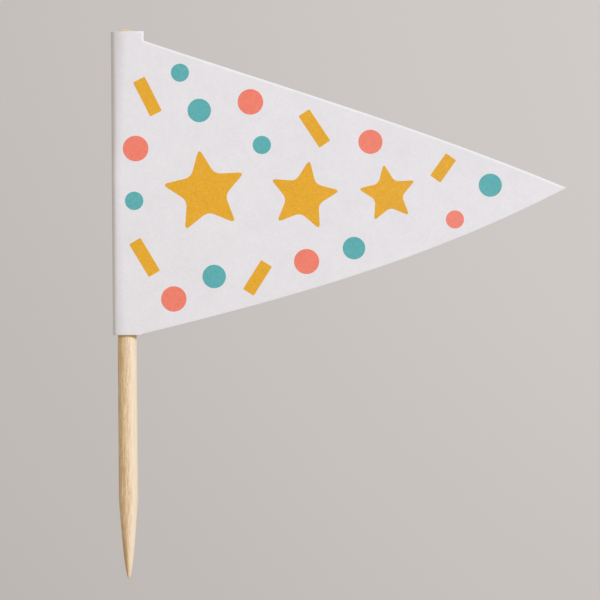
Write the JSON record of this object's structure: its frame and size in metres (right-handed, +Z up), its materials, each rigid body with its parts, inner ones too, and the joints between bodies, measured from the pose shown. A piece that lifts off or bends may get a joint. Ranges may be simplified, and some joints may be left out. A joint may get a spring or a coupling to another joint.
{
  "type": "pennant cupcake topper",
  "caption": "Small pennant flag of folded white card with a confetti print, glued round the upper half of a pointed round wooden pick that stands in a cupcake.",
  "frame": {"origin": "the point of the pick, on the pick's axis, where it enters the cake first", "axes": "+Z up along the pick's axis, -Y out of the printed front face, +X from the pick towards the flag's apex"},
  "size_m": [0.0538, 0.003, 0.065],
  "materials": {
    "wood": "pale, straight-grained, dry and unvarnished",
    "card": "uncoated smooth card, matte, faint fibre mottling",
    "film_adhesive": "thin dried film, milky",
    "bead_glue": "dried white glue, slightly glossy and milky",
    "ink_teal": "flat printed ink, matte",
    "ink_coral": "flat printed ink, matte",
    "ink_mustard": "flat printed ink, matte"
  },
  "bodies": {
    "root": {"pick": "wood", "flag_card": "card", "ply_adhesive": "film_adhesive", "pick_glue": "bead_glue"}
  },
  "joints": []
}
